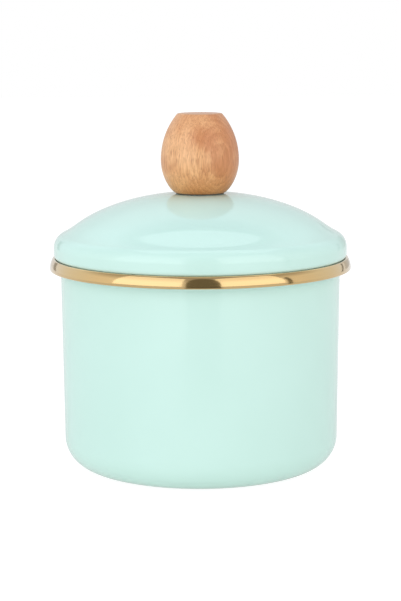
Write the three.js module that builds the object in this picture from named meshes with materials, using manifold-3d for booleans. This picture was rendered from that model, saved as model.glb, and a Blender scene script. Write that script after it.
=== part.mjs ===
// Storage container: an enamelled steel pot with a gold rim band, a domed lid and a beech knob.
// Millimetres, +Z up. The origin is the middle of the base, on the surface that the pot stands on.
import * as THREE from 'three';
import { mergeVertices } from 'three/addons/utils/BufferGeometryUtils.js';
import Module from 'manifold-3d';

const wasm = await Module();
wasm.setup();

// Facets round the large shells, round the knob and round the small hardware
const SHELL_SIDES = 48;
const KNOB_SIDES = 36;
const HARDWARE_SIDES = 24;

// Pressed steel with its enamel, and the gap that neighbours keep where they meet
const sheet = 1.2;
const seatGap = 0.3;

// Pot: a deep-drawn cup whose wall widens a little from foot to mouth and ends in a turned-out flange
const potDiameter = 140;
const wallTaper = 1.0;
const cornerRadius = 15;
const flangeHeight = 99.73;
const flangeWidth = 4.55;
const flangeAngle = THREE.MathUtils.degToRad(12);
const flangeBend = 2.0;

// Rim band: a strip rolled over the flange, with a crest, a rounded face and a lip turned under
const bandGauge = 0.5;
const bandEndRoom = 0.45;
const bandCornerInside = 0.1;
const bandCrestInside = 0.4;
const bandFaceRadius = 9.0;
const bandCrestRise = 4.35;
const bandUnderLip = 1.8;
const bandLandingInset = 0.8;

// Lid: a pressed dome with a flat seat for the knob, a round shoulder and its edge turned under
const lidOverhang = 3.35;
const lidSideRadius = 7.6;
const lidSideRise = 2.6;
const hemInside = 1.2;
const hemDrop = 0.9;
const shoulderRadius = 7.4;
const shoulderSweep = THREE.MathUtils.degToRad(65);
const browRun = 7.13;
const browRise = 4.51;
const browAngle = THREE.MathUtils.degToRad(35.5);
const domeRise = 15.15;
const seatRadius = 14;
const screwHoleClearance = 0.5;
// Curve handles, as shares of the run between a curve's ends: next to the seat, next to the brow
const domeHandleShares = [0.067, 0.469];
const browHandleShare = 0.36;

// Collar: a ring held in the lid's turned-under edge, which drops into the pot's mouth
const collarSheet = 1.0;
const collarClearance = 0.9;
const collarBend = 0.8;
const collarDepth = 12;
const collarLeadRadius = 5;
const collarLeadAngle = THREE.MathUtils.degToRad(35);

// Knob: a turned egg with a flat foot and a flat top
const knobHeight = 39.3;
const knobFootRadius = 12.5;
const knobWaistRadius = 19.5;
const knobTopRadius = 11.05;
const knobWaistHeight = 16.1;
const knobFootAngle = THREE.MathUtils.degToRad(30.4);
const knobTopAngle = THREE.MathUtils.degToRad(48.9);
// Curve handles, as shares of the height below the waist (foot, waist) and above it (waist, top)
const knobLowerShares = [0.234, 0.449];
const knobUpperShares = [0.467, 0.259];

// Threaded insert pressed into the knob, and the screw that comes up through the lid
const screwRadius = 2.0;
const screwLength = 14;
const screwHeadRadius = 4.0;
const screwHeadHeight = 2.6;
const screwHeadEdge = 1.1;
const recessReach = 2.2;
const recessWidth = 1.1;
const recessDepth = 1.7;
const insertLength = 12;
const insertWall = 1.7;
const insertSetBack = 0.5;
const knurlDepth = 0.35;
const knurlTeeth = 20;
const knobHoleSpare = 0.8;

// Washers under the screw's head, and the thin one under the knob
const washerRadius = 5.0;
const washerThickness = 1.0;
const screwGasketRadius = 6.0;
const screwGasketThickness = 1.0;
const knobGasketInset = 0.6;
const knobGasketThickness = 0.6;

// Overrun of a cutting tool past the surface that it starts from, and points that count as one
const overrun = 1.0;
const joinTolerance = 0.001;

const quarterTurn = Math.PI / 2;
const halfTurn = Math.PI;
const at = (radius, height) => new THREE.Vector2(radius, height);
const polar = (centre, radius, angle) =>
  at(centre.x + radius * Math.cos(angle), centre.y + radius * Math.sin(angle));

const enamel = new THREE.MeshStandardMaterial({ color: 0xd2f2eb, roughness: 0.12, metalness: 0 });
const whiteEnamel = new THREE.MeshStandardMaterial({ color: 0xf0f0eb, roughness: 0.12, metalness: 0 });
const goldSteel = new THREE.MeshStandardMaterial({ color: 0xd8b87c, roughness: 0.18, metalness: 1 });
const beech = new THREE.MeshStandardMaterial({ color: 0xd99c6a, roughness: 0.55, metalness: 0 });
const brass = new THREE.MeshStandardMaterial({ color: 0xc9a450, roughness: 0.35, metalness: 1 });
const steel = new THREE.MeshStandardMaterial({ color: 0xb9bcc0, roughness: 0.3, metalness: 1 });
const silicone = new THREE.MeshStandardMaterial({ color: 0x8c8f8a, roughness: 0.6, metalness: 0 });

// Points along a path. Its round stretches take their numbers of steps from the list, in order.
function pointsAlong(path, roundSteps) {
  const points = [];
  const steps = [...roundSteps];
  for (const curve of path.curves) {
    for (const point of curve.getPoints(curve.isLineCurve ? 1 : steps.shift())) {
      const last = points[points.length - 1];
      if (!last || last.distanceTo(point) > joinTolerance) points.push(point);
    }
  }
  return points;
}

// The closed outline of a sheet: its face, and the same line moved by the thickness to its right
// (a negative thickness moves it to the left), with mitred corners
function sheetOutline(face, thickness) {
  const back = face.map((point, index) => {
    const before = face[Math.max(index - 1, 0)];
    const after = face[Math.min(index + 1, face.length - 1)];
    const into = point.clone().sub(before).normalize();
    const out = after.clone().sub(point).normalize();
    const along = into.clone().add(out).normalize();
    const bend = index > 0 && index < face.length - 1 ? Math.sqrt((1 + into.dot(out)) / 2) : 1;
    return at(point.x + along.y * thickness / bend, point.y - along.x * thickness / bend);
  });
  return [...face, ...back.reverse()];
}

// Twice the signed area of an outline: positive where it runs anticlockwise, radius right, height up
function windingOf(outline) {
  return outline.reduce((sum, point, index) => {
    const next = outline[(index + 1) % outline.length];
    return sum + point.x * next.y - next.x * point.y;
  }, 0);
}

// A body of revolution about Z. An outline that doesn't reach the axis is closed into a ring.
function turned(outline, sides) {
  const points = windingOf(outline) > 0 ? [...outline] : [...outline].reverse();
  const onAxis = points.filter((point) => point.x === 0).length;
  if (onAxis > 0) {
    while (points[0].x !== 0 || points[points.length - 1].x !== 0) points.push(points.shift());
  } else {
    points.push(points[0].clone());
  }
  const geometry = new THREE.LatheGeometry(points, sides);
  geometry.rotateX(quarterTurn);
  return geometry;
}

// A flat ring with square edges, from one height up by its thickness
function ring(innerRadius, outerRadius, bottom, thickness, sides) {
  return turned([
    at(innerRadius, bottom),
    at(outerRadius, bottom),
    at(outerRadius, bottom + thickness),
    at(innerRadius, bottom + thickness),
  ], sides);
}

// A geometry as a solid for cutting, and back again
function solidOf(geometry) {
  const bare = geometry.clone();
  bare.deleteAttribute('normal');
  bare.deleteAttribute('uv');
  const merged = mergeVertices(bare);
  const mesh = new wasm.Mesh({
    numProp: 3,
    vertProperties: new Float32Array(merged.attributes.position.array),
    triVerts: new Uint32Array(merged.index.array),
  });
  mesh.merge();
  return new wasm.Manifold(mesh);
}

function geometryOf(solid) {
  const mesh = solid.getMesh();
  const geometry = new THREE.BufferGeometry();
  geometry.setAttribute('position', new THREE.BufferAttribute(mesh.vertProperties, mesh.numProp));
  geometry.setIndex(new THREE.BufferAttribute(mesh.triVerts, 1));
  geometry.computeVertexNormals();
  return geometry;
}

const group = new THREE.Group();

function add(name, geometry, material) {
  const mesh = new THREE.Mesh(geometry, material);
  mesh.name = name;
  group.add(mesh);
}

// Places that several pieces share
const wallRadius = potDiameter / 2;
const mouthRadius = wallRadius - sheet;
const screwHoleRadius = screwRadius + screwHoleClearance;
const hemRadius = hemInside + sheet;
const bandCornerRadius = bandCornerInside + bandGauge;
const bandCrestRadius = bandCrestInside + bandGauge;
const flangeBendLength = flangeBend * Math.tan((quarterTurn - flangeAngle) / 2);
// A point of the flange: how far out along its underside, and how far above that underside
const onFlange = (along, above) => at(
  wallRadius + along * Math.cos(flangeAngle) - above * Math.sin(flangeAngle),
  flangeHeight + along * Math.sin(flangeAngle) + above * Math.cos(flangeAngle),
);
const cornerCentre = onFlange(flangeWidth + bandEndRoom, bandCornerInside - seatGap);
const faceCentre = at(cornerCentre.x + bandCornerRadius - bandFaceRadius, cornerCentre.y);
const faceAngle = Math.asin(bandCrestRise / (bandFaceRadius - bandCrestRadius));
const crestCentre = polar(faceCentre, bandFaceRadius - bandCrestRadius, faceAngle);

// Pot shell: flat base, round corner, tapered wall, bend and flange, followed along the outside
function potShell() {
  const footRadius = wallRadius - wallTaper;
  const bendCentre = at(wallRadius + flangeBend, flangeHeight - flangeBendLength);
  const flangeEnd = onFlange(flangeWidth, 0);
  const face = new THREE.Path();
  face.moveTo(0, 0);
  face.lineTo(footRadius - cornerRadius, 0);
  face.absarc(footRadius - cornerRadius, cornerRadius, cornerRadius, -quarterTurn, 0, false);
  face.lineTo(wallRadius, bendCentre.y);
  face.absarc(bendCentre.x, bendCentre.y, flangeBend, halfTurn, quarterTurn + flangeAngle, true);
  face.lineTo(flangeEnd.x, flangeEnd.y);
  return turned(sheetOutline(pointsAlong(face, [6, 3]), -sheet), SHELL_SIDES);
}

// Rim band: up from the flange inside the mouth, over the crest, down the face and under the edge
function rimBand() {
  const landing = onFlange(flangeBendLength + bandLandingInset, sheet + seatGap);
  const reach = crestCentre.clone().sub(landing);
  const lean = reach.angle() + Math.asin(bandCrestInside / reach.length());
  const start = polar(landing, bandGauge, lean + quarterTurn);
  const underAngle = flangeAngle - quarterTurn;
  const underStart = polar(cornerCentre, bandCornerRadius, underAngle);
  const face = new THREE.Path();
  face.moveTo(start.x, start.y);
  const crestStart = polar(crestCentre, bandCrestRadius, lean + quarterTurn);
  face.lineTo(crestStart.x, crestStart.y);
  face.absarc(crestCentre.x, crestCentre.y, bandCrestRadius, lean + quarterTurn, faceAngle, true);
  face.absarc(faceCentre.x, faceCentre.y, bandFaceRadius, faceAngle, 0, true);
  face.absarc(cornerCentre.x, cornerCentre.y, bandCornerRadius, 0, underAngle, true);
  face.lineTo(
    underStart.x - bandUnderLip * Math.cos(flangeAngle),
    underStart.y - bandUnderLip * Math.sin(flangeAngle),
  );
  return turned(sheetOutline(pointsAlong(face, [4, 3, 2]), bandGauge), SHELL_SIDES);
}

// The lid's edge: its hem rests on the band's crest, and the side stands on the hem
const lidRadius = wallRadius + lidOverhang;
const hemAngle = Math.asin(hemDrop / (lidSideRadius - hemRadius));
const hemCentreRadius = lidRadius - lidSideRadius + (lidSideRadius - hemRadius) * Math.cos(hemAngle);
const hemReach = hemRadius + bandCrestRadius + seatGap;
const hemOffset = crestCentre.x - hemCentreRadius;
const hemCentre = at(hemCentreRadius, crestCentre.y + Math.sqrt(hemReach ** 2 - hemOffset ** 2));
const sideCentre = at(lidRadius - lidSideRadius, hemCentre.y + hemDrop);
const shoulderCentre = at(lidRadius - shoulderRadius, sideCentre.y + lidSideRise);
const shoulderEnd = polar(shoulderCentre, shoulderRadius, shoulderSweep);
const browTop = at(shoulderEnd.x - browRun, shoulderEnd.y + browRise);
const seatHeight = browTop.y + domeRise;
const collarRadius = mouthRadius - collarClearance;
const lipHeight = hemCentre.y - hemRadius;

// Lid shell, followed along the outside from the screw's hole to the end of the turned-under lip
function lidShell() {
  const domeRun = browTop.x - seatRadius;
  const shoulderSlope = quarterTurn - shoulderSweep;
  const browHandle = browRun * browHandleShare;
  const face = new THREE.Path();
  face.moveTo(screwHoleRadius, seatHeight);
  face.lineTo(seatRadius, seatHeight);
  face.bezierCurveTo(
    seatRadius + domeRun * domeHandleShares[0], seatHeight,
    browTop.x - domeRun * domeHandleShares[1] * Math.cos(browAngle),
    browTop.y + domeRun * domeHandleShares[1] * Math.sin(browAngle),
    browTop.x, browTop.y,
  );
  face.bezierCurveTo(
    browTop.x + browHandle * Math.cos(browAngle), browTop.y - browHandle * Math.sin(browAngle),
    shoulderEnd.x - browHandle * Math.cos(shoulderSlope),
    shoulderEnd.y + browHandle * Math.sin(shoulderSlope),
    shoulderEnd.x, shoulderEnd.y,
  );
  face.absarc(shoulderCentre.x, shoulderCentre.y, shoulderRadius, shoulderSweep, 0, true);
  face.lineTo(sideCentre.x + lidSideRadius, sideCentre.y);
  face.absarc(sideCentre.x, sideCentre.y, lidSideRadius, 0, -hemAngle, true);
  face.absarc(hemCentre.x, hemCentre.y, hemRadius, -hemAngle, -quarterTurn, true);
  face.lineTo(collarRadius + seatGap, lipHeight);
  return turned(sheetOutline(pointsAlong(face, [7, 2, 4, 2, 3]), sheet), SHELL_SIDES);
}

// Collar: its flange lies on the lid's lip, and its skirt hangs down and draws in at the end
function lidCollar() {
  const flangeUnderside = lipHeight + sheet + seatGap;
  const bendCentre = at(collarRadius + collarBend, flangeUnderside - collarBend);
  const leadCentre = at(collarRadius - collarLeadRadius, lipHeight - collarDepth);
  const face = new THREE.Path();
  face.moveTo(hemCentre.x - seatGap, flangeUnderside);
  face.lineTo(bendCentre.x, flangeUnderside);
  face.absarc(bendCentre.x, bendCentre.y, collarBend, quarterTurn, halfTurn, false);
  face.lineTo(collarRadius, leadCentre.y);
  face.absarc(leadCentre.x, leadCentre.y, collarLeadRadius, 0, -collarLeadAngle, true);
  return turned(sheetOutline(pointsAlong(face, [3, 3]), collarSheet), SHELL_SIDES);
}

// Heights in the stack on the lid's seat, and in the stack of washers under it
const knobFoot = seatHeight + knobGasketThickness;
const gasketBottom = seatHeight - sheet - screwGasketThickness;
const washerBottom = gasketBottom - washerThickness;
const boreRadius = screwRadius + seatGap;
const insertRadius = boreRadius + insertWall;
const insertBottom = knobFoot + insertSetBack;
const screwTip = washerBottom + screwLength;

// Knob: a blind hole for the insert, a flat foot, two curves that meet at the waist, a flat top
function knob() {
  const holeRadius = insertRadius + seatGap;
  const holeTop = Math.max(insertBottom + insertLength, screwTip) + knobHoleSpare;
  const waist = knobFoot + knobWaistHeight;
  const top = knobFoot + knobHeight;
  const below = knobLowerShares.map((share) => share * knobWaistHeight);
  const above = knobUpperShares.map((share) => share * (knobHeight - knobWaistHeight));
  const side = new THREE.Path();
  side.moveTo(0, holeTop);
  side.lineTo(holeRadius, holeTop);
  side.lineTo(holeRadius, knobFoot);
  side.lineTo(knobFootRadius, knobFoot);
  side.bezierCurveTo(
    knobFootRadius + below[0] * Math.cos(knobFootAngle), knobFoot + below[0] * Math.sin(knobFootAngle),
    knobWaistRadius, waist - below[1],
    knobWaistRadius, waist,
  );
  side.bezierCurveTo(
    knobWaistRadius, waist + above[0],
    knobTopRadius + above[1] * Math.cos(knobTopAngle), top - above[1] * Math.sin(knobTopAngle),
    knobTopRadius, top,
  );
  side.lineTo(0, top);
  return turned(pointsAlong(side, [7, 8]), KNOB_SIDES);
}

// Insert: a tube with a straight-knurled outside, drawn as a star with a round hole
function knobInsert() {
  const outline = new THREE.Shape();
  const corners = knurlTeeth * 2;
  for (let corner = 0; corner < corners; corner += 1) {
    const radius = corner % 2 === 0 ? insertRadius : insertRadius - knurlDepth;
    const point = polar(at(0, 0), radius, (corner / corners) * 2 * Math.PI);
    if (corner === 0) outline.moveTo(point.x, point.y);
    else outline.lineTo(point.x, point.y);
  }
  outline.closePath();
  const hole = new THREE.Path();
  hole.absarc(0, 0, boreRadius, 0, 2 * Math.PI, true);
  outline.holes.push(hole);
  const geometry = new THREE.ExtrudeGeometry(outline, {
    depth: insertLength, bevelEnabled: false, curveSegments: HARDWARE_SIDES / 2,
  });
  geometry.translate(0, 0, insertBottom);
  return geometry;
}

// Screw: a pan head below, its shank up through the washers and the lid, and a cross cut in the head
function knobScrew() {
  const headTop = washerBottom;
  const headBottom = headTop - screwHeadHeight;
  const body = new THREE.Path();
  body.moveTo(0, headBottom);
  body.lineTo(screwHeadRadius - screwHeadEdge, headBottom);
  body.absarc(screwHeadRadius - screwHeadEdge, headBottom + screwHeadEdge, screwHeadEdge,
    -quarterTurn, 0, false);
  body.lineTo(screwHeadRadius, headTop);
  body.lineTo(screwRadius, headTop);
  body.lineTo(screwRadius, screwTip);
  body.lineTo(0, screwTip);
  let solid = solidOf(turned(pointsAlong(body, [4]), HARDWARE_SIDES));
  for (const turn of [0, quarterTurn]) {
    const slot = new THREE.BoxGeometry(2 * recessReach, recessWidth, recessDepth + overrun);
    slot.rotateZ(turn);
    slot.translate(0, 0, headBottom + (recessDepth - overrun) / 2);
    solid = solid.subtract(solidOf(slot));
  }
  return geometryOf(solid);
}

add('pot_shell', potShell(), enamel);
add('rim_band', rimBand(), goldSteel);
add('lid_shell', lidShell(), enamel);
add('lid_collar', lidCollar(), whiteEnamel);
add('knob', knob(), beech);
add('knob_insert', knobInsert(), brass);
add('knob_screw', knobScrew(), steel);
add('screw_washer', ring(boreRadius, washerRadius, washerBottom, washerThickness, HARDWARE_SIDES), steel);
add('screw_gasket',
  ring(boreRadius, screwGasketRadius, gasketBottom, screwGasketThickness, HARDWARE_SIDES), silicone);
add('knob_gasket',
  ring(screwHoleRadius, knobFootRadius - knobGasketInset, seatHeight, knobGasketThickness, KNOB_SIDES),
  silicone);

export default group;
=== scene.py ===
import math

import bmesh
import bpy
from mathutils import Matrix, Vector
from mathutils.geometry import interpolate_bezier


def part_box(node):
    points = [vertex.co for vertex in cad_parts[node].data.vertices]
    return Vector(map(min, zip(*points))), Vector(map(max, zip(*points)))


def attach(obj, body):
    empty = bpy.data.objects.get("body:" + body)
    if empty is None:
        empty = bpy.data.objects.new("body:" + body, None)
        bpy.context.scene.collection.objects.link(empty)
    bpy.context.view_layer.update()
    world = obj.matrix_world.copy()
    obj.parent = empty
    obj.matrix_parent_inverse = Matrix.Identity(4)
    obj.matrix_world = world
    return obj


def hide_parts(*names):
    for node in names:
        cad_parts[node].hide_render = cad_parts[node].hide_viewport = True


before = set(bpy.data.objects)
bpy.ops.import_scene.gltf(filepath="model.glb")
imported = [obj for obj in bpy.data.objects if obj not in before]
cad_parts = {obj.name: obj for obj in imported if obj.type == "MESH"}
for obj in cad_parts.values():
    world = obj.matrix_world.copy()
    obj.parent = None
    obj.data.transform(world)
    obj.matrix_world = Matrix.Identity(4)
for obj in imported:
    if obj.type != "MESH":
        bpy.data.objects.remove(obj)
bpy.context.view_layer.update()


# Pot
# A cup deep-drawn from 1.2 mm steel, one piece from its flat base to the flange at the mouth. It is
# dipped in enamel and fired, so that a skin of glass covers it: mint outside, white inside.
mm = 0.001
shell_sides = 192
quarter_turn = math.pi / 2


def at(radius, height):
    """A point of a profile: this far from the axis, at this height."""
    return Vector((radius, 0, height))


def polar(centre, radius, angle):
    """The point of a profile at this distance and angle from a centre. At zero it lies outwards."""
    return centre + radius * at(math.cos(angle), math.sin(angle))


def straight(profile, tip, end):
    """Draws a profile on from its tip, straight to a point, and gives the new tip."""
    tip = bmesh.ops.extrude_vert_indiv(profile, verts=[tip])["verts"][0]
    tip.co = end
    return tip


def arc(profile, tip, centre, angle, steps):
    """Draws a profile on round a centre. A positive angle turns from outwards to up."""
    drawn = bmesh.ops.spin(profile, geom=[tip], cent=centre, axis=(0, -1, 0), angle=angle, steps=steps)
    return drawn["geom_last"][0]


def curve(profile, tip, leaving, arriving, end, steps):
    """Draws a profile on along a curve with two handles."""
    for point in interpolate_bezier(tip.co, leaving, arriving, end, steps + 1)[1:]:
        tip = straight(profile, tip, point)
    return tip


def turned(name, profile, sides, cup=False):
    """The profile turned once about Z, its seam and poles closed, as a smooth object.

    Recalculated faces of an open cup point into it, so a cup's are turned round.
    """
    weld_distance = 0.002 * mm
    bmesh.ops.spin(profile, geom=profile.verts[:] + profile.edges[:], cent=(0, 0, 0), axis=(0, 0, 1),
                   angle=2 * math.pi, steps=sides, use_merge=True)
    bmesh.ops.remove_doubles(profile, verts=profile.verts, dist=weld_distance)
    bmesh.ops.recalc_face_normals(profile, faces=profile.faces)
    if cup:
        bmesh.ops.reverse_faces(profile, faces=profile.faces)
    for face in profile.faces:
        face.smooth = True
    mesh = bpy.data.meshes.new(name)
    profile.to_mesh(mesh)
    profile.free()
    piece = bpy.data.objects.new(name, mesh)
    bpy.context.scene.collection.objects.link(piece)
    return piece


def thicken(piece, thickness, inner_material=0):
    """Gives a turned face its sheet's thickness, on the inside."""
    wall = piece.modifiers.new("sheet", "SOLIDIFY")
    wall.thickness = thickness
    wall.offset = -1
    wall.use_even_offset = True
    wall.material_offset = inner_material


def round_edges(piece, radius):
    """Breaks the sharp edges of a piece."""
    edges = piece.modifiers.new("edges", "BEVEL")
    edges.width = radius
    edges.segments = 3
    edges.limit_method = "ANGLE"
    edges.angle_limit = math.radians(35)
    edges.harden_normals = True


def colour(hex_code):
    """An sRGB hex value as linear red, green, blue and alpha."""
    shares = [int(hex_code[place:place + 2], 16) / 255 for place in (1, 3, 5)]
    return [share / 12.92 if share <= 0.04045 else ((share + 0.055) / 1.055) ** 2.4
            for share in shares] + [1]


def per_mm(size):
    """The scale of a pattern on Object coordinates whose features are this many millimetres wide."""
    return 1 / (size * mm)


def new_material(name):
    """A material with no nodes yet."""
    material = bpy.data.materials.new(name)
    material.use_nodes = True
    material.node_tree.nodes.clear()
    return material


def add_node(owner, kind, inputs, **settings):
    """Adds a node. Its inputs are values or the outputs of other nodes, its settings its properties.

    A Map Range takes its value, the two ends that it comes from and the two that it goes to as 0 to 4.
    A Mix takes its share as 0 and two colours as 6 and 7, and gives the mixed colour as output 2.
    """
    node = owner.node_tree.nodes.new(kind)
    for name, value in settings.items():
        setattr(node, name, value)
    for socket, value in inputs.items():
        if isinstance(value, bpy.types.NodeSocket):
            owner.node_tree.links.new(value, node.inputs[socket])
        else:
            node.inputs[socket].default_value = value
    return node


# Most of a noise texture lies between these values
noise_low, noise_high = 0.3, 0.7


def fired_enamel(name, thin_coat, thick_coat):
    """Vitreous enamel: opaque coloured glass fired on steel, with a wet gloss.

    The eye sees clear but softly waving reflections, and a colour that deepens where the coat is thick.
    """
    patch_width, wave_width, speck_width = 34, 14, 0.8
    wave_depth = 0.010 * mm
    smoothest, roughest = 0.02, 0.05
    enamel = new_material(name)
    place = add_node(enamel, "ShaderNodeTexCoord", {}).outputs["Object"]
    patches = add_node(enamel, "ShaderNodeTexNoise", {
        "Vector": place, "Scale": per_mm(patch_width), "Detail": 2, "Roughness": 0.4})
    tone = add_node(enamel, "ShaderNodeMix", {
        0: patches.outputs["Fac"], 6: colour(thin_coat), 7: colour(thick_coat)}, data_type="RGBA")
    specks = add_node(enamel, "ShaderNodeTexNoise", {
        "Vector": place, "Scale": per_mm(speck_width), "Detail": 3, "Roughness": 0.6})
    gloss = add_node(enamel, "ShaderNodeMapRange", {
        0: specks.outputs["Fac"], 1: noise_low, 2: noise_high, 3: smoothest, 4: roughest})
    waves = add_node(enamel, "ShaderNodeTexNoise", {
        "Vector": place, "Scale": per_mm(wave_width), "Detail": 1, "Roughness": 0.4})
    coat = add_node(enamel, "ShaderNodeBump", {
        "Height": waves.outputs["Fac"], "Strength": 1, "Distance": wave_depth})
    shader = add_node(enamel, "ShaderNodeBsdfPrincipled", {
        "Base Color": tone.outputs[2], "Roughness": gloss.outputs[0], "IOR": 1.55,
        "Normal": coat.outputs[0]})
    add_node(enamel, "ShaderNodeOutputMaterial", {"Surface": shader.outputs[0]})
    return enamel


mint_enamel = fired_enamel("mint vitreous enamel", "#d0efe7", "#cbebe2")
white_enamel = fired_enamel("white vitreous enamel", "#f0f0eb", "#e8e9e3")

sheet = 1.2 * mm
flange_slope = math.radians(12)
flange_width = 4.55 * mm
flange_bend = 2.0 * mm
base_corner = 15 * mm
wall_taper = 1.0 * mm
enamel_edge = 0.3 * mm

flange_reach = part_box("pot_shell")[1]
wall_radius = flange_reach.x - flange_width * math.cos(flange_slope)
flange_root = flange_reach.z - sheet * math.cos(flange_slope) - flange_width * math.sin(flange_slope)
bend_run = flange_bend * math.tan((quarter_turn - flange_slope) / 2)


def on_flange(along, above):
    """A point this far out along the flange's underside and this far above it."""
    return at(wall_radius + along * math.cos(flange_slope) - above * math.sin(flange_slope),
              flange_root + along * math.sin(flange_slope) + above * math.cos(flange_slope))


foot_radius = wall_radius - wall_taper
pot_profile = bmesh.new()
tip = pot_profile.verts.new(at(0, 0))
tip = straight(pot_profile, tip, at(foot_radius - base_corner, 0))
tip = arc(pot_profile, tip, at(foot_radius - base_corner, base_corner), quarter_turn, steps=24)
tip = straight(pot_profile, tip, at(wall_radius, flange_root - bend_run))
tip = arc(pot_profile, tip, at(wall_radius + flange_bend, flange_root - bend_run),
          flange_slope - quarter_turn, steps=10)
tip = straight(pot_profile, tip, on_flange(flange_width, 0))
pot = turned("enamelled_pot", pot_profile, shell_sides, cup=True)
thicken(pot, sheet, inner_material=1)
round_edges(pot, enamel_edge)
pot.data.materials.append(mint_enamel)
pot.data.materials.append(white_enamel)
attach(pot, "pot")
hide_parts("pot_shell")


# Rim band
# A strip of 0.5 mm stainless steel, coloured gold in a vacuum and polished. It is rolled over the
# flange: up inside the mouth, over a crest, down a bowed face and under the flange's edge.
band_gauge = 0.5 * mm
band_corner = 0.6 * mm
band_crest = 0.9 * mm
band_crest_inside = band_crest - band_gauge
band_bow = 9.0 * mm
band_rise = 4.35 * mm
band_under_lip = 1.8 * mm
band_landing = 0.8 * mm
band_edge = 0.12 * mm
seat_gap = 0.3 * mm

band_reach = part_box("rim_band")[1]
corner_centre = at(band_reach.x - band_corner, band_reach.z - band_crest - band_rise)
bow_centre = at(band_reach.x - band_bow, corner_centre.z)
bow_angle = math.asin(band_rise / (band_bow - band_crest))
crest_centre = polar(bow_centre, band_bow - band_crest, bow_angle)
landing = on_flange(bend_run + band_landing, sheet + seat_gap)
rise = crest_centre - landing
lean = math.atan2(rise.z, rise.x) + math.asin(band_crest_inside / rise.length)

band_profile = bmesh.new()
tip = band_profile.verts.new(polar(landing, band_gauge, lean + quarter_turn))
tip = straight(band_profile, tip, polar(crest_centre, band_crest, lean + quarter_turn))
tip = arc(band_profile, tip, crest_centre, bow_angle - lean - quarter_turn, steps=14)
tip = arc(band_profile, tip, bow_centre, -bow_angle, steps=16)
tip = arc(band_profile, tip, corner_centre, flange_slope - quarter_turn, steps=8)
under = at(math.cos(flange_slope), math.sin(flange_slope))
tip = straight(band_profile, tip, tip.co - band_under_lip * under)
band = turned("gold_rim_band", band_profile, shell_sides)
thicken(band, band_gauge)
round_edges(band, band_edge)


def polished_gold_steel():
    """Stainless steel with a gold film, polished on a wheel along the strip.

    A mirror a little blurred by polishing lines, which run round the band. The film is sealed with clear
    lacquer, whose sheen pales the gold where it is seen edge on.
    """
    line_width, line_length = 0.35, 40
    line_depth = 0.002 * mm
    nominal_radius = 75 * mm
    smoothest, roughest = 0.06, 0.12
    steel = new_material("gold-coloured stainless steel")
    place = add_node(steel, "ShaderNodeTexCoord", {}).outputs["Object"]
    axes = add_node(steel, "ShaderNodeSeparateXYZ", {"Vector": place})
    flat = add_node(steel, "ShaderNodeCombineXYZ", {"X": axes.outputs["X"], "Y": axes.outputs["Y"]})
    radius = add_node(steel, "ShaderNodeVectorMath", {0: flat.outputs[0]}, operation="LENGTH")
    angle = add_node(steel, "ShaderNodeMath", {
        0: axes.outputs["Y"], 1: axes.outputs["X"]}, operation="ARCTAN2")
    along = add_node(steel, "ShaderNodeMath", {
        0: angle.outputs[0], 1: nominal_radius * line_width / line_length}, operation="MULTIPLY")
    rolled = add_node(steel, "ShaderNodeCombineXYZ", {
        "X": radius.outputs["Value"], "Y": along.outputs[0], "Z": axes.outputs["Z"]})
    lines = add_node(steel, "ShaderNodeTexNoise", {
        "Vector": rolled.outputs[0], "Scale": per_mm(line_width), "Detail": 3, "Roughness": 0.6})
    film = add_node(steel, "ShaderNodeMix", {
        0: lines.outputs["Fac"], 6: colour("#dfbe84"), 7: colour("#d7b479")}, data_type="RGBA")
    blur = add_node(steel, "ShaderNodeMapRange", {
        0: lines.outputs["Fac"], 1: noise_low, 2: noise_high, 3: smoothest, 4: roughest})
    grooves = add_node(steel, "ShaderNodeBump", {
        "Height": lines.outputs["Fac"], "Strength": 0.4, "Distance": line_depth})
    shader = add_node(steel, "ShaderNodeBsdfPrincipled", {
        "Base Color": film.outputs[2], "Metallic": 1, "Roughness": blur.outputs[0],
        "Coat Weight": 1, "Coat Roughness": 0.05, "Coat IOR": 1.5, "Normal": grooves.outputs[0]})
    add_node(steel, "ShaderNodeOutputMaterial", {"Surface": shader.outputs[0]})
    return steel


band.data.materials.append(polished_gold_steel())
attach(band, "pot")
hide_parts("rim_band")


# Lid
# A dome pressed from the same steel: a flat seat for the knob, a long bowed slope, a slight hollow
# above the round shoulder, and a hem turned under. Enamelled mint on top and white underneath.
lid_side = 7.6 * mm
lid_side_rise = 2.6 * mm
lid_hem_inside = 1.2 * mm
lid_hem_drop = 0.9 * mm
lid_shoulder = 7.4 * mm
lid_shoulder_sweep = math.radians(65)
lid_brow_run = 7.13 * mm
lid_brow_rise = 4.51 * mm
lid_brow_slope = math.radians(35.5)
lid_seat_radius = 14 * mm
lid_screw_hole = 2.5 * mm
dome_handle_shares = (0.067, 0.469)
brow_handle_share = 0.36

lid_low, lid_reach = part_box("lid_shell")
lid_radius, lip_height, seat_height = lid_reach.x, lid_low.z, lid_reach.z
lid_hem = lid_hem_inside + sheet
hem_angle = math.asin(lid_hem_drop / (lid_side - lid_hem))
hem_centre = at(lid_radius - lid_side + (lid_side - lid_hem) * math.cos(hem_angle), lip_height + lid_hem)
side_centre = at(lid_radius - lid_side, hem_centre.z + lid_hem_drop)
shoulder_centre = at(lid_radius - lid_shoulder, side_centre.z + lid_side_rise)
shoulder_end = polar(shoulder_centre, lid_shoulder, lid_shoulder_sweep)
brow_top = shoulder_end + at(-lid_brow_run, lid_brow_rise)
dome_run = brow_top.x - lid_seat_radius
brow_handle = lid_brow_run * brow_handle_share
down_brow = at(math.cos(lid_brow_slope), -math.sin(lid_brow_slope))
into_shoulder = at(math.sin(lid_shoulder_sweep), -math.cos(lid_shoulder_sweep))
collar_play = 0.9 * mm
collar_wall = wall_radius - sheet - collar_play

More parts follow.
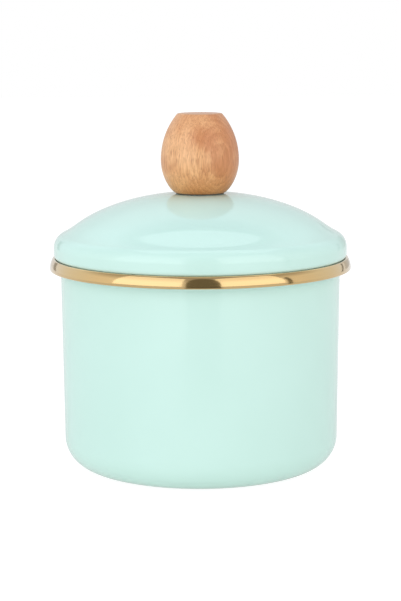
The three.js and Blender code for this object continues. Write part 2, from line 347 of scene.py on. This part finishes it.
lid_profile = bmesh.new()
tip = lid_profile.verts.new(at(lid_screw_hole, seat_height))
tip = straight(lid_profile, tip, at(lid_seat_radius, seat_height))
tip = curve(lid_profile, tip, tip.co + at(dome_run * dome_handle_shares[0], 0),
            brow_top - dome_run * dome_handle_shares[1] * down_brow, brow_top, steps=40)
tip = curve(lid_profile, tip, brow_top + brow_handle * down_brow,
            shoulder_end - brow_handle * into_shoulder, shoulder_end, steps=10)
tip = arc(lid_profile, tip, shoulder_centre, -lid_shoulder_sweep, steps=20)
tip = straight(lid_profile, tip, side_centre + at(lid_side, 0))
tip = arc(lid_profile, tip, side_centre, -hem_angle, steps=5)
tip = arc(lid_profile, tip, hem_centre, hem_angle - quarter_turn, steps=12)
tip = straight(lid_profile, tip, at(collar_wall + seat_gap, lip_height))
lid = turned("enamelled_lid", lid_profile, shell_sides)
thicken(lid, sheet, inner_material=1)
round_edges(lid, enamel_edge)
lid.data.materials.append(mint_enamel)
lid.data.materials.append(white_enamel)
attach(lid, "lid")
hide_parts("lid_shell")


# Collar
# A ring of 1 mm steel, enamelled with the lid. Its flange is held in the lid's hem, and its skirt
# hangs into the pot's mouth and draws in at its end, so that it finds the mouth by itself.
collar_sheet = 1.0 * mm
collar_bend = 0.8 * mm
collar_drop = 12 * mm
collar_lead = 5 * mm
collar_lead_angle = math.radians(35)
collar_edge = 0.2 * mm

collar_flange = lip_height + sheet + seat_gap
collar_profile = bmesh.new()
tip = collar_profile.verts.new(at(hem_centre.x - seat_gap, collar_flange))
tip = straight(collar_profile, tip, at(collar_wall + collar_bend, collar_flange))
tip = arc(collar_profile, tip, at(collar_wall + collar_bend, collar_flange - collar_bend),
          quarter_turn, steps=6)
tip = straight(collar_profile, tip, at(collar_wall, lip_height - collar_drop))
tip = arc(collar_profile, tip, at(collar_wall - collar_lead, lip_height - collar_drop),
          -collar_lead_angle, steps=8)
collar = turned("lid_collar_ring", collar_profile, shell_sides, cup=True)
thicken(collar, collar_sheet)
round_edges(collar, collar_edge)
collar.data.materials.append(white_enamel)
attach(collar, "lid")
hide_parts("lid_collar")


# Knob
# Beech turned on a lathe with the grain upright: a flat foot, an egg-shaped side, a flat top. It is
# sanded and sealed with a thin satin varnish, and drilled from below for the insert.
knob_foot_radius = 12.5 * mm
knob_top_radius = 11.05 * mm
knob_waist_height = 16.1 * mm
knob_foot_angle = math.radians(30.4)
knob_top_angle = math.radians(48.9)
knob_lower_shares = (0.234, 0.449)
knob_upper_shares = (0.467, 0.259)
knob_hole_spare = 0.8 * mm
knob_edge = 0.35 * mm
knob_sides = 128
insert_reach, screw_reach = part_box("knob_insert")[1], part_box("knob_screw")[1]
knob_hole_radius = insert_reach.x + seat_gap
knob_hole_top = max(insert_reach.z, screw_reach.z) + knob_hole_spare

knob_low, knob_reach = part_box("knob")
knob_waist = at(knob_reach.x, knob_low.z + knob_waist_height)
knob_upper = knob_reach.z - knob_waist.z
knob_top_edge = at(knob_top_radius, knob_reach.z)
knob_profile = bmesh.new()
tip = knob_profile.verts.new(at(0, knob_hole_top))
tip = straight(knob_profile, tip, at(knob_hole_radius, knob_hole_top))
tip = straight(knob_profile, tip, at(knob_hole_radius, knob_low.z))
tip = straight(knob_profile, tip, at(knob_foot_radius, knob_low.z))
tip = curve(knob_profile, tip,
            polar(tip.co, knob_lower_shares[0] * knob_waist_height, knob_foot_angle),
            knob_waist - at(0, knob_lower_shares[1] * knob_waist_height), knob_waist, steps=24)
tip = curve(knob_profile, tip, knob_waist + at(0, knob_upper_shares[0] * knob_upper),
            polar(knob_top_edge, knob_upper_shares[1] * knob_upper, -knob_top_angle), knob_top_edge,
            steps=30)
tip = straight(knob_profile, tip, at(0, knob_reach.z))
knob = turned("beech_knob", knob_profile, knob_sides)
round_edges(knob, knob_edge)


def per_wave(spacing):
    """The scale of a wave texture with bands this many millimetres apart. At scale 1 they are pi / 10."""
    return per_mm(spacing) * math.pi / 10


def varnished_beech():
    """Beech, turned and varnished satin, with its grain upright.

    The tree's pith lay in front and to the right, so the growth rings come to the face as ovals there
    and as upright lines further left. The eye also sees fine fibre, and the short dashes of the rays.
    Its colour also holds painted shade, darker at the foot and at the top, and some painted light,
    paler on the left.
    """
    pith = Vector((31, -51, 0)) * mm
    ring_spacing = 1.8
    fibre_size, ray_size = (0.6, 1.2, 9.0), (0.45, 0.45, 4.5)
    patch_width, sway_width = 13, 10
    sway, pore_depth = 0.7 * mm, 0.02 * mm
    # Paler on the left, rosier on the right: partly the wood's own tone, partly painted light that is
    # brighter on the left
    pale_left, rosy_right = -16 * mm, 16 * mm
    side_light_and_rose, patch_rose = (-0.35, 0.65), (-0.15, 0.85)
    # Painted shade: how far the wood darkens towards the foot and towards the top
    painted_foot_shade, painted_top_shade = 0.55, 0.36
    ring_starts, ring_full_rose = 0.25, 0.7
    ring_faintest, ring_strongest = 0.12, 0.46
    fibre_range, ray_range = (0.42, 0.68), (0.55, 0.72)
    fibre_strongest, ray_strongest = 0.5, 0.5
    wood = new_material("varnished beech")
    place = add_node(wood, "ShaderNodeTexCoord", {}).outputs["Object"]
    drift = add_node(wood, "ShaderNodeTexNoise", {
        "Vector": place, "Scale": per_mm(sway_width), "Detail": 2, "Roughness": 0.5})
    level = add_node(wood, "ShaderNodeVectorMath", {
        0: drift.outputs["Color"], 1: (0.5, 0.5, 0.5)}, operation="SUBTRACT")
    swayed = add_node(wood, "ShaderNodeVectorMath", {
        0: level.outputs[0], 1: (sway, sway, sway), 2: place}, operation="MULTIPLY_ADD")
    from_pith = add_node(wood, "ShaderNodeVectorMath", {
        0: swayed.outputs[0], 1: pith}, operation="SUBTRACT")
    run = add_node(wood, "ShaderNodeSeparateXYZ", {"Vector": from_pith.outputs[0]})
    flat = add_node(wood, "ShaderNodeCombineXYZ", {"X": run.outputs["X"], "Y": run.outputs["Y"]})
    outwards = add_node(wood, "ShaderNodeVectorMath", {0: flat.outputs[0]}, operation="LENGTH")
    bearing = add_node(wood, "ShaderNodeMath", {
        0: run.outputs["X"], 1: run.outputs["Y"]}, operation="ARCTAN2")
    round_pith = add_node(wood, "ShaderNodeMath", {
        0: bearing.outputs[0], 1: pith.length}, operation="MULTIPLY")
    grain = add_node(wood, "ShaderNodeCombineXYZ", {
        "X": outwards.outputs["Value"], "Y": round_pith.outputs[0], "Z": run.outputs["Z"]})
    patches = add_node(wood, "ShaderNodeTexNoise", {
        "Vector": place, "Scale": per_mm(patch_width), "Detail": 3, "Roughness": 0.5})
    across = add_node(wood, "ShaderNodeSeparateXYZ", {"Vector": place})
    # Partly painted light: the wood is paler towards the left and rosier towards the right
    side = add_node(wood, "ShaderNodeMapRange", {
        0: across.outputs["X"], 1: pale_left, 2: rosy_right, 3: side_light_and_rose[0], 4: side_light_and_rose[1]})
    rosy = add_node(wood, "ShaderNodeMapRange", {
        0: patches.outputs["Fac"], 1: noise_low, 2: noise_high, 3: patch_rose[0], 4: patch_rose[1]})
    rose_and_light_share = add_node(wood, "ShaderNodeMath", {
        0: side.outputs[0], 1: rosy.outputs[0]}, operation="ADD", use_clamp=True)
    ground = add_node(wood, "ShaderNodeMix", {
        0: rose_and_light_share.outputs[0], 6: colour("#f8c08a"), 7: colour("#d58e5b")}, data_type="RGBA")
    # Painted shade: a darker, deeper orange towards the foot
    foot_shade_share = add_node(wood, "ShaderNodeMapRange", {
        0: across.outputs["Z"], 1: knob_low.z, 2: knob_waist.z, 3: painted_foot_shade, 4: 0})
    foot_shaded = add_node(wood, "ShaderNodeMix", {
        0: foot_shade_share.outputs[0], 6: ground.outputs[2], 7: colour("#db8d38")}, data_type="RGBA")
    # Painted shade: darker towards the top
    top_shade_share = add_node(wood, "ShaderNodeMapRange", {
        0: across.outputs["Z"], 1: knob_waist.z, 2: knob_reach.z, 3: 0, 4: painted_top_shade})
    top_shaded = add_node(wood, "ShaderNodeMix", {
        0: top_shade_share.outputs[0], 6: foot_shaded.outputs[2], 7: colour("#c8824e")}, data_type="RGBA")
    rings = add_node(wood, "ShaderNodeTexWave", {
        "Vector": grain.outputs[0], "Scale": per_wave(ring_spacing), "Distortion": 3.5,
        "Detail": 3, "Detail Scale": 0.8, "Detail Roughness": 0.6},
        wave_type="BANDS", bands_direction="X", wave_profile="SAW")
    ring_strength = add_node(wood, "ShaderNodeMapRange", {
        0: rose_and_light_share.outputs[0], 1: 0, 2: ring_full_rose, 3: ring_faintest, 4: ring_strongest})
    ring_share = add_node(wood, "ShaderNodeMapRange", {
        0: rings.outputs["Fac"], 1: ring_starts, 2: 1, 3: 0, 4: ring_strength.outputs[0]})
    ringed = add_node(wood, "ShaderNodeMix", {
        0: ring_share.outputs[0], 6: top_shaded.outputs[2], 7: colour("#ba6f3e")}, data_type="RGBA")
    fibre_place = add_node(wood, "ShaderNodeMapping", {
        "Vector": grain.outputs[0], "Scale": [per_mm(size) for size in fibre_size]})
    fibre = add_node(wood, "ShaderNodeTexNoise", {
        "Vector": fibre_place.outputs[0], "Scale": 1, "Detail": 3, "Roughness": 0.6})
    fibre_share = add_node(wood, "ShaderNodeMapRange", {
        0: fibre.outputs["Fac"], 1: fibre_range[0], 2: fibre_range[1], 3: 0, 4: fibre_strongest})
    fibred = add_node(wood, "ShaderNodeMix", {
        0: fibre_share.outputs[0], 6: ringed.outputs[2], 7: colour("#b9743f")}, data_type="RGBA")
    ray_place = add_node(wood, "ShaderNodeMapping", {
        "Vector": grain.outputs[0], "Scale": [per_mm(size) for size in ray_size]})
    rays = add_node(wood, "ShaderNodeTexNoise", {
        "Vector": ray_place.outputs[0], "Scale": 1, "Detail": 1, "Roughness": 0.4})
    ray_share = add_node(wood, "ShaderNodeMapRange", {
        0: rays.outputs["Fac"], 1: ray_range[0], 2: ray_range[1], 3: 0, 4: ray_strongest})
    face = add_node(wood, "ShaderNodeMix", {
        0: ray_share.outputs[0], 6: fibred.outputs[2], 7: colour("#a2613a")}, data_type="RGBA")
    pores = add_node(wood, "ShaderNodeBump", {
        "Height": fibre.outputs["Fac"], "Strength": 0.5, "Distance": pore_depth})
    shader = add_node(wood, "ShaderNodeBsdfPrincipled", {
        "Base Color": face.outputs[2], "Roughness": 0.5, "IOR": 1.5, "Normal": pores.outputs[0],
        "Coat Weight": 0.35, "Coat Roughness": 0.22})
    add_node(wood, "ShaderNodeOutputMaterial", {"Surface": shader.outputs[0]})
    return wood


knob.data.materials.append(varnished_beech())
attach(knob, "lid")
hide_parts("knob")


# Washers
# Three flat rings stamped from sheet: silicone between the knob and the enamel, silicone between the
# enamel and the screw's washer, and that washer of zinc-plated steel. They stop the enamel chipping.
washer_bore = 2.3 * mm
washer_sides = 96


def silicone_rubber():
    """Silicone rubber, moulded in a sheet: grey, matt, with a faint skin of dust and mould grain."""
    grain_width = 0.5
    grain_depth = 0.02 * mm
    rubber = new_material("grey silicone rubber")
    place = add_node(rubber, "ShaderNodeTexCoord", {}).outputs["Object"]
    grain = add_node(rubber, "ShaderNodeTexNoise", {
        "Vector": place, "Scale": per_mm(grain_width), "Detail": 3, "Roughness": 0.6})
    tone = add_node(rubber, "ShaderNodeMix", {
        0: grain.outputs["Fac"], 6: colour("#55564f"), 7: colour("#6b6b64")}, data_type="RGBA")
    skin = add_node(rubber, "ShaderNodeBump", {
        "Height": grain.outputs["Fac"], "Strength": 0.4, "Distance": grain_depth})
    shader = add_node(rubber, "ShaderNodeBsdfPrincipled", {
        "Base Color": tone.outputs[2], "Roughness": 0.6, "IOR": 1.41, "Normal": skin.outputs[0]})
    add_node(rubber, "ShaderNodeOutputMaterial", {"Surface": shader.outputs[0]})
    return rubber


def zinc_plated_steel():
    """Steel plated with bright zinc: a cool grey, satin, clouded over a millimetre or two."""
    cloud_width = 1.6
    smoothest, roughest = 0.24, 0.38
    steel = new_material("zinc-plated steel")
    place = add_node(steel, "ShaderNodeTexCoord", {}).outputs["Object"]
    clouds = add_node(steel, "ShaderNodeTexNoise", {
        "Vector": place, "Scale": per_mm(cloud_width), "Detail": 3, "Roughness": 0.6})
    tone = add_node(steel, "ShaderNodeMix", {
        0: clouds.outputs["Fac"], 6: colour("#c3c7cb"), 7: colour("#aeb2b6")}, data_type="RGBA")
    blur = add_node(steel, "ShaderNodeMapRange", {
        0: clouds.outputs["Fac"], 1: noise_low, 2: noise_high, 3: smoothest, 4: roughest})
    shader = add_node(steel, "ShaderNodeBsdfPrincipled", {
        "Base Color": tone.outputs[2], "Metallic": 1, "Roughness": blur.outputs[0]})
    add_node(steel, "ShaderNodeOutputMaterial", {"Surface": shader.outputs[0]})
    return steel


def washer(name, node, material, bore, edge_radius):
    """A flat ring in the space of its CAD node."""
    low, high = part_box(node)
    profile = bmesh.new()
    corners = [profile.verts.new(point) for point in (
        at(bore, low.z), at(high.x, low.z), at(high.x, high.z), at(bore, high.z))]
    for start, end in zip(corners, corners[1:] + corners[:1]):
        profile.edges.new((start, end))
    piece = turned(name, profile, washer_sides)
    round_edges(piece, edge_radius)
    piece.data.materials.append(material)
    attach(piece, "lid")
    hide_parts(node)


grey_silicone = silicone_rubber()
bright_zinc = zinc_plated_steel()
washer("knob_cushion_ring", "knob_gasket", grey_silicone, lid_screw_hole, edge_radius=0.15 * mm)
washer("enamel_cushion_ring", "screw_gasket", grey_silicone, washer_bore, edge_radius=0.25 * mm)
washer("steel_washer", "screw_washer", bright_zinc, washer_bore, edge_radius=0.15 * mm)


# Screw and insert
# An M4 pan-head screw with a cross recess comes up through the washers and the lid into a knurled
# brass insert, which is pressed into the beech. Both keep the shape that the CAD model gives them.
def dress(node, material):
    """Gives a CAD node's own solid this material."""
    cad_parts[node].data.materials.clear()
    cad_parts[node].data.materials.append(material)


def turned_brass():
    """Brass, turned from bar: a warm yellow metal with fine lathe lines round it, 0.2 mm apart."""
    lathe_feed = 0.2
    brass = new_material("turned brass")
    place = add_node(brass, "ShaderNodeTexCoord", {}).outputs["Object"]
    lines = add_node(brass, "ShaderNodeTexWave", {
        "Vector": place, "Scale": per_wave(lathe_feed), "Distortion": 0.6, "Detail": 1},
        wave_type="BANDS", bands_direction="Z", wave_profile="SIN")
    tone = add_node(brass, "ShaderNodeMix", {
        0: lines.outputs["Fac"], 6: colour("#d6b25e"), 7: colour("#c79e48")}, data_type="RGBA")
    shader = add_node(brass, "ShaderNodeBsdfPrincipled", {
        "Base Color": tone.outputs[2], "Metallic": 1, "Roughness": 0.32})
    add_node(brass, "ShaderNodeOutputMaterial", {"Surface": shader.outputs[0]})
    return brass


dress("knob_screw", bright_zinc)
dress("knob_insert", turned_brass())


# Studio floor
# A table of white opal board, lit from below as well as from above, that runs on as the background.
# The camera sees it as white, with the pot's own soft shadow kept.
floor_width = 8.0


def on_stage(name, shape, material):
    """Puts a finished bmesh into the scene with this material, as a studio prop of its own."""
    mesh = bpy.data.meshes.new(name)
    shape.to_mesh(mesh)
    shape.free()
    mesh.materials.append(material)
    prop = bpy.data.objects.new(name, mesh)
    bpy.context.scene.collection.objects.link(prop)
    return prop


def studio_card(name, width, height, material, corner_share=0):
    """A card of this size on the stage, lying at the origin. Its corners may be rounded."""
    card = bmesh.new()
    bmesh.ops.create_grid(card, x_segments=1, y_segments=1, size=0.5)
    if corner_share:
        bmesh.ops.bevel(card, geom=card.verts[:], offset=corner_share, offset_type="OFFSET",
                        segments=12, profile=0.5, affect="VERTICES", material=-1)
    bmesh.ops.scale(card, vec=(width, height, 1), verts=card.verts)
    return on_stage(name, card, material)


def rays_that_show(owner):
    """Gives 1 to the rays of the eye, of mirrors and of glass, and 0 to those that light the object."""
    rays = add_node(owner, "ShaderNodeLightPath", {})
    seen = add_node(owner, "ShaderNodeMath", {
        0: rays.outputs["Is Camera Ray"], 1: rays.outputs["Is Glossy Ray"]}, operation="MAXIMUM")
    shown = add_node(owner, "ShaderNodeMath", {
        0: seen.outputs[0], 1: rays.outputs["Is Transmission Ray"]}, operation="MAXIMUM")
    return shown.outputs[0]


def white_table():
    """Opal board. The camera sees it as plain white, and mirrors see it a little greyer."""
    front, back = -0.2, 0.4
    mirrored_front, mirrored_back = 0.5, 0.62
    white_glow, light_from_below = 0.87, 0.16
    board = new_material("white opal studio board")
    place = add_node(board, "ShaderNodeTexCoord", {}).outputs["Object"]
    axes = add_node(board, "ShaderNodeSeparateXYZ", {"Vector": place})
    mirrored = add_node(board, "ShaderNodeMapRange", {
        0: axes.outputs["Y"], 1: front, 2: back, 3: mirrored_front, 4: mirrored_back})
    rays = add_node(board, "ShaderNodeLightPath", {})
    brightness = add_node(board, "ShaderNodeMapRange", {
        0: rays.outputs["Is Glossy Ray"], 1: 0, 2: 1, 3: white_glow, 4: mirrored.outputs[0]})
    pale = add_node(board, "ShaderNodeBsdfDiffuse", {"Color": colour("#959595")})
    pale_glow = add_node(board, "ShaderNodeEmission", {
        "Color": colour("#ffffff"), "Strength": brightness.outputs[0]})
    to_the_eye = add_node(board, "ShaderNodeAddShader", {0: pale.outputs[0], 1: pale_glow.outputs[0]})
    matt = add_node(board, "ShaderNodeBsdfDiffuse", {"Color": colour("#e4e3df")})
    matt_glow = add_node(board, "ShaderNodeEmission", {
        "Color": colour("#ffffff"), "Strength": light_from_below})
    to_the_object = add_node(board, "ShaderNodeAddShader", {0: matt.outputs[0], 1: matt_glow.outputs[0]})
    both = add_node(board, "ShaderNodeMixShader", {
        0: rays_that_show(board), 1: to_the_object.outputs[0], 2: to_the_eye.outputs[0]})
    add_node(board, "ShaderNodeOutputMaterial", {"Surface": both.outputs[0]})
    return board


studio_card("studio_floor", floor_width, floor_width, white_table())


# Studio light
# Two upright softboxes in front, with the camera in the dark gap between them, and one overhead. The
# pale room round them and the gap only show in the gloss and in the gold band.
softbox_distance = 1.5
softbox_middle = 0.96
softbox_height = 1.68
overhead_x, overhead_y, overhead_height = 0.1, 0.19, 1.7
room_radius, room_height, ceiling_height = 2.2, 2.6, 2.58


def softbox(name, place, towards, width, height, radiance, hex_code):
    """A rectangular softbox of a given brightness to the eye, seen in the gloss.

    An area lamp's power is four times its area times that brightness.
    """
    light = bpy.data.lights.new(name, "AREA")
    light.shape = "RECTANGLE"
    light.size = width
    light.size_y = height
    light.energy = 4 * width * height * radiance
    light.color = colour(hex_code)[:3]
    box = bpy.data.objects.new(name, light)
    facing = (towards - place).to_track_quat("-Z", "Y")
    box.matrix_world = Matrix.Translation(place) @ facing.to_matrix().to_4x4()
    box.visible_camera = False
    bpy.context.scene.collection.objects.link(box)


for name, bearing, width, radiance, tint in (("left_softbox", -40.3, 1.52, 0.69, "#f8fbff"),
                                             ("right_softbox", 39.0, 1.47, 0.63, "#fffdfa")):
    azimuth = math.radians(bearing)
    place = Vector((softbox_distance * math.sin(azimuth), -softbox_distance * math.cos(azimuth),
                    softbox_middle))
    softbox(name, place, Vector((0, 0, softbox_middle)), width, softbox_height, radiance, tint)
softbox("overhead_softbox", Vector((overhead_x, overhead_y, overhead_height)),
        Vector((overhead_x, overhead_y, 0)), width=1.7, height=0.88, radiance=0.78, hex_code="#f2fbff")


def only_mirrored(card):
    """Shows a card in gloss and metal alone."""
    card.visible_camera = False
    card.visible_diffuse = False
    card.visible_shadow = False
    card.visible_transmission = False


def pale_walls():
    """Painted walls, a little darker in front and behind. Higher up they fade in front and glow behind.

    The share of the way round is 0 in front and 1 behind, on either side.
    """
    left_gain, right_gain = 1.06, 1.0
    gain_starts, gain_ends = 1.0, 1.8
    front_share, back_share = 0.55, 0.75
    high_front_gain, high_back_gain = 0.58, 1.35
    paint = new_material("pale studio walls")
    place = add_node(paint, "ShaderNodeTexCoord", {}).outputs["Object"]
    axes = add_node(paint, "ShaderNodeSeparateXYZ", {"Vector": place})
    front = add_node(paint, "ShaderNodeMath", {0: axes.outputs["Y"], 1: -1}, operation="MULTIPLY")
    bearing = add_node(paint, "ShaderNodeMath", {
        0: axes.outputs["X"], 1: front.outputs[0]}, operation="ARCTAN2")
    either_side = add_node(paint, "ShaderNodeMath", {0: bearing.outputs[0]}, operation="ABSOLUTE")
    share = add_node(paint, "ShaderNodeMath", {
        0: either_side.outputs[0], 1: math.pi}, operation="DIVIDE")
    ramp = add_node(paint, "ShaderNodeValToRGB", {0: share.outputs[0]})
    stops = ramp.color_ramp.elements
    stops[0].position, stops[0].color = 0.35, colour("#e2e2e4")
    stops[1].position, stops[1].color = 0.86, colour("#e0e0e0")
    for stop_share, tone in ((0.39, "#f7f5f0"), (0.47, "#f3f1ee"), (0.56, "#eef1f2"), (0.76, "#eaf0f5")):
        stops.new(stop_share).color = colour(tone)
    side_gain = add_node(paint, "ShaderNodeMapRange", {
        0: axes.outputs["X"], 1: -room_radius, 2: room_radius, 3: left_gain, 4: right_gain})
    top_gain = add_node(paint, "ShaderNodeMapRange", {
        0: share.outputs[0], 1: front_share, 2: back_share, 3: high_front_gain, 4: high_back_gain})
    high_gain = add_node(paint, "ShaderNodeMapRange", {
        0: axes.outputs["Z"], 1: gain_starts, 2: gain_ends, 3: 1.0, 4: top_gain.outputs[0]})
    gain = add_node(paint, "ShaderNodeMath", {
        0: side_gain.outputs[0], 1: high_gain.outputs[0]}, operation="MULTIPLY")
    glow = add_node(paint, "ShaderNodeEmission", {
        "Color": ramp.outputs[0], "Strength": gain.outputs[0]})
    add_node(paint, "ShaderNodeOutputMaterial", {"Surface": glow.outputs[0]})
    return paint


def plain_glow(name, hex_code):
    """A surface of one brightness, which only mirrors show."""
    glow = new_material(name)
    light = add_node(glow, "ShaderNodeEmission", {"Color": colour(hex_code), "Strength": 1})
    add_node(glow, "ShaderNodeOutputMaterial", {"Surface": light.outputs[0]})
    return glow


def lit_ceiling():
    """A grey ceiling that is bright along the wall at the back."""
    front, back = -0.2, 0.9
    edge_starts = 1.3
    middle_tone, front_tone, back_tone = 0.45, 0.47, 1.05
    paint = new_material("studio ceiling")
    place = add_node(paint, "ShaderNodeTexCoord", {}).outputs["Object"]
    reach = add_node(paint, "ShaderNodeVectorMath", {0: place}, operation="LENGTH")
    axes = add_node(paint, "ShaderNodeSeparateXYZ", {"Vector": place})
    edge_tone = add_node(paint, "ShaderNodeMapRange", {
        0: axes.outputs["Y"], 1: front, 2: back, 3: front_tone, 4: back_tone})
    tone = add_node(paint, "ShaderNodeMapRange", {
        0: reach.outputs["Value"], 1: edge_starts, 2: room_radius, 3: middle_tone, 4: edge_tone.outputs[0]})
    glow = add_node(paint, "ShaderNodeEmission", {
        "Color": colour("#fbfbff"), "Strength": tone.outputs[0]})
    add_node(paint, "ShaderNodeOutputMaterial", {"Surface": glow.outputs[0]})
    return paint


room_mesh = bmesh.new()
bmesh.ops.create_cone(room_mesh, segments=96, radius1=room_radius, radius2=room_radius, depth=room_height)
bmesh.ops.translate(room_mesh, vec=(0, 0, room_height / 2), verts=room_mesh.verts)
only_mirrored(on_stage("pale_room", room_mesh, pale_walls()))
ceiling = studio_card("ceiling", 2 * room_radius, 2 * room_radius, lit_ceiling())
ceiling.matrix_world = Matrix.Translation((0, 0, ceiling_height))
only_mirrored(ceiling)


def stand_up(card, azimuth, distance, height, lean=0):
    """Stands a card on edge, facing the axis, with its middle at this height. Only mirrors show it."""
    card.matrix_world = (Matrix.Rotation(azimuth, 4, "Z") @ Matrix.Translation((0, -distance, height))
                         @ Matrix.Rotation(quarter_turn, 4, "X") @ Matrix.Rotation(lean, 4, "Z"))
    only_mirrored(card)


# A thin stand beside the right softbox, which the gold band mirrors as a dark line
stand = studio_card("softbox_stand", width=0.05, height=0.46, material=plain_glow("grey stand", "#73746e"))
stand_up(stand, azimuth=math.radians(67.4), distance=0.75, height=0.22)

# Grey cards at the back wall, which the ends of the gold band mirror as small dark marks
back_card_height, back_card_distance, back_card_middle = 0.75, 2.1, 0.3
for name, bearing, width, lean, grey in (("left_back_slit", -146.6, 0.27, 25, "#a8a8a4"),
                                         ("right_back_slit", 137.5, 0.11, -25, "#7c7c7a"),
                                         ("right_back_panel", 153, 0.60, -25, "#c6c6c4")):
    back_card = studio_card(name, width, back_card_height, plain_glow(name, grey))
    stand_up(back_card, math.radians(bearing), back_card_distance, back_card_middle, math.radians(lean))

# The gap between the softboxes is arched, and its lower end is under the floor
gap_azimuth, gap_half, gap_distance = math.radians(2.1), math.radians(12.7), 1.42
gap_top, gap_middle, gap_corner_share = 1.62, 0.32, 0.42
gap = studio_card("gap_between_softboxes", 2 * gap_distance * math.tan(gap_half),
                  2 * (gap_top - gap_middle), plain_glow("dark gap", "#73726a"), gap_corner_share)
stand_up(gap, gap_azimuth, gap_distance, gap_middle)


def table_sheen():
    """The gap, mirrored in the sheen of the table: dark far off, lost in the white near the pot."""
    near, far = 0.20, 0.42
    near_tone, far_tone = 0.72, 0.10
    sheen = new_material("sheen of the table")
    place = add_node(sheen, "ShaderNodeTexCoord", {}).outputs["Object"]
    distance = add_node(sheen, "ShaderNodeVectorMath", {0: place}, operation="LENGTH")
    tone = add_node(sheen, "ShaderNodeMapRange", {
        0: distance.outputs["Value"], 1: near, 2: far, 3: near_tone, 4: far_tone})
    glow = add_node(sheen, "ShaderNodeEmission", {
        "Color": colour("#ffffff"), "Strength": tone.outputs[0]})
    add_node(sheen, "ShaderNodeOutputMaterial", {"Surface": glow.outputs[0]})
    return sheen


# The sheen lies just above the table and widens away from the pot, as the gap's reflection does
sheen_start, sheen_end, sheen_height = 0.2, 1.4, 2 * mm
sheen_mesh = bmesh.new()
sheen_corners = []
for reach, edge in ((sheen_start, -1), (sheen_start, 1), (sheen_end, 1), (sheen_end, -1)):
    bearing = gap_azimuth + edge * gap_half
    sheen_corners.append(sheen_mesh.verts.new((
        reach * math.sin(bearing), -reach * math.cos(bearing), sheen_height)))
sheen_mesh.faces.new(sheen_corners)
only_mirrored(on_stage("gap_in_the_table", sheen_mesh, table_sheen()))

# The sky of the diffuse light is brightest at the horizon and on the left
horizon_fill, zenith_fill = 1.15, 0.43
left_fill, right_fill = 1.19, 0.91
world = bpy.data.worlds.new("white studio")
world.use_nodes = True
world.node_tree.nodes.clear()
bpy.context.scene.world = world
shown = rays_that_show(world)
sight = add_node(world, "ShaderNodeTexCoord", {}).outputs["Generated"]
axes = add_node(world, "ShaderNodeSeparateXYZ", {"Vector": sight})
by_height = add_node(world, "ShaderNodeMapRange", {
    0: axes.outputs["Z"], 1: 0, 2: 1, 3: horizon_fill, 4: zenith_fill})
by_side = add_node(world, "ShaderNodeMapRange", {
    0: axes.outputs["X"], 1: -1, 2: 1, 3: left_fill, 4: right_fill})
fill = add_node(world, "ShaderNodeMath", {
    0: by_height.outputs[0], 1: by_side.outputs[0]}, operation="MULTIPLY")
strength = add_node(world, "ShaderNodeMapRange", {0: shown, 1: 0, 2: 1, 3: fill.outputs[0], 4: 1})
fill_tint = add_node(world, "ShaderNodeMix", {
    0: axes.outputs["Z"], 6: colour("#fffaf6"), 7: colour("#e6f5ff")}, data_type="RGBA", clamp_factor=True)
tint = add_node(world, "ShaderNodeMix", {
    0: shown, 6: fill_tint.outputs[2], 7: colour("#ffffff")}, data_type="RGBA")
sky = add_node(world, "ShaderNodeBackground", {"Color": tint.outputs[2], "Strength": strength.outputs[0]})
add_node(world, "ShaderNodeOutputWorld", {"Surface": sky.outputs[0]})


# Camera
# A short telephoto at table height, looking a little down, as in the photograph.
camera_data = bpy.data.cameras.new("camera")
camera_data.lens = 111.44
camera_data.sensor_width = 36
camera_data.clip_end = 50
camera = bpy.data.objects.new("camera", camera_data)
camera_place = Vector((0, -0.9272, 0.22786))
camera_down = math.radians(8.871)
camera_roll = math.radians(-0.25)
camera.matrix_world = (Matrix.Translation(camera_place)
                       @ Matrix.Rotation(quarter_turn - camera_down, 4, "X")
                       @ Matrix.Rotation(camera_roll, 4, "Z"))
bpy.context.scene.collection.objects.link(camera)
bpy.context.scene.camera = camera
bpy.context.scene.view_settings.view_transform = "Standard"
